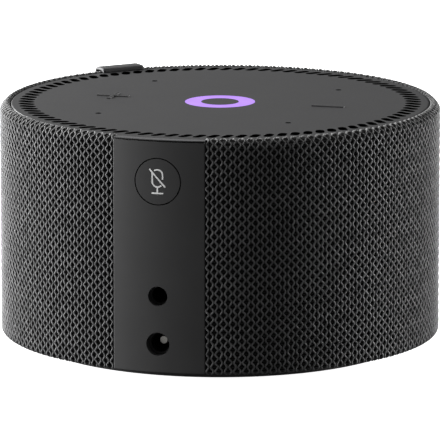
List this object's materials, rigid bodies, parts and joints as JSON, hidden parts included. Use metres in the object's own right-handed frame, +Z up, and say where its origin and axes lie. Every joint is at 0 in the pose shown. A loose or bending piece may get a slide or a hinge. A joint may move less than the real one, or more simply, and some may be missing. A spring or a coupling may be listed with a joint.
{
  "type": "smart home hub",
  "caption": "Round desktop smart home hub with knit fabric side, slotted touch disc, glow ring, rear mute button, audio and power sockets, and a sprung speaker inside.",
  "frame": {"origin": "centre of the underside of the rubber foot, on the surface the hub stands on", "axes": "+Z up through the touch disc, -Y out of the rear panel with the button and sockets, +X towards the minus mark"},
  "size_m": [0.0974, 0.0974, 0.0541],
  "materials": {
    "foot_rubber": "matte moulded rubber",
    "base_plastic": "fine moulded texture",
    "frame_plastic": "matte moulded",
    "knit_fabric": "open three-dimensional knit",
    "woven_ribbon": "fine woven ribbon",
    "panel_plastic": "fine spark-eroded texture",
    "button_plastic": "fine spark-eroded texture",
    "switch_plastic": "matte moulded",
    "socket_plastic": "smooth moulded",
    "circuit_board": "solder mask",
    "contact_metal": "nickel plated",
    "cable_film": "polyimide film",
    "disc_plastic": "fine satin texture",
    "dust_mesh": "fine acoustic mesh",
    "glow_plastic": "translucent, lit from below",
    "seal_rubber": "soft foam rubber",
    "shield_steel": "tinned",
    "led_white": "diffused resin",
    "chip_epoxy": "epoxy",
    "thermal_rubber": "soft silicone",
    "aluminium_sheet": "milled",
    "brass_spacer": "turned",
    "wire_rubber": "smooth insulation",
    "chamber_plastic": "moulded",
    "basket_steel": "black coat",
    "ferrite": "sintered",
    "copper_wire": "enamelled winding",
    "cone_pulp": "pressed pulp",
    "surround_rubber": "moulded rubber",
    "spider_cloth": "corrugated cloth",
    "screw_steel": "black zinc"
  },
  "bodies": {
    "root": {"audio_jack": "socket_plastic", "base_cover": "base_plastic", "base_foot_pad": "foot_rubber", "base_screws": "screw_steel", "board_carrier": "frame_plastic", "board_chips": "chip_epoxy", "board_connector": "socket_plastic", "board_screws": "screw_steel", "board_spacers": "brass_spacer", "button_board": "circuit_board", "carrier_screws": "screw_steel", "chamber_bottom": "chamber_plastic", "chamber_screws": "screw_steel", "chamber_seal": "seal_rubber", "chamber_top": "chamber_plastic", "disc_screws": "screw_steel", "driver_basket": "basket_steel", "driver_gasket": "seal_rubber", "driver_magnet": "ferrite", "driver_screws": "screw_steel", "driver_spider": "spider_cloth", "driver_surround": "surround_rubber", "driver_washer": "shield_steel", "driver_yoke": "shield_steel", "fabric_sleeve": "knit_fabric", "flat_cable": "cable_film", "glow_cap": "disc_plastic", "glow_ring": "glow_plastic", "heat_spreader": "aluminium_sheet", "light_baffle": "frame_plastic", "main_board": "circuit_board", "mic_seals": "seal_rubber", "microphones": "shield_steel", "mute_switch": "switch_plastic", "outer_frame": "frame_plastic", "panel_screws": "screw_steel", "power_jack": "socket_plastic", "power_pin": "contact_metal", "radiator_frame": "chamber_plastic", "radiator_surround": "surround_rubber", "radio_antennas": "circuit_board", "radio_shield": "shield_steel", "rear_panel": "panel_plastic", "ribbon_tab": "woven_ribbon", "slot_dust_mesh": "dust_mesh", "socket_board": "circuit_board", "socket_springs": "contact_metal", "speaker_wires": "wire_rubber", "status_lights": "led_white", "thermal_pads": "thermal_rubber", "top_board": "circuit_board", "touch_disc": "disc_plastic", "touch_film": "cable_film"},
    "mute_button": {"mute_button": "button_plastic", "switch_plunger": "switch_plastic"},
    "driver_diaphragm": {"driver_cone": "cone_pulp", "dust_cap": "cone_pulp", "voice_coil": "copper_wire"},
    "radiator_diaphragm": {"radiator_plate": "chamber_plastic", "radiator_weight": "shield_steel"}
  },
  "joints": [
    {"name": "mute_button_press", "type": "slide", "parent": "root", "child": "mute_button", "axis": [0, 1, 0], "range_m": [0, 0.0004], "stiffness_N_per_m": 4000},
    {"name": "driver_travel", "type": "slide", "parent": "root", "child": "driver_diaphragm", "axis": [0, 0, 1], "range_m": [-0.0008, 0.0008], "stiffness_N_per_m": 1200, "deforming": ["driver_surround", "driver_spider"]},
    {"name": "radiator_travel", "type": "slide", "parent": "root", "child": "radiator_diaphragm", "axis": [0, 0, 1], "range_m": [-0.003, 0.003], "stiffness_N_per_m": 800, "deforming": ["radiator_surround"]}
  ]
}
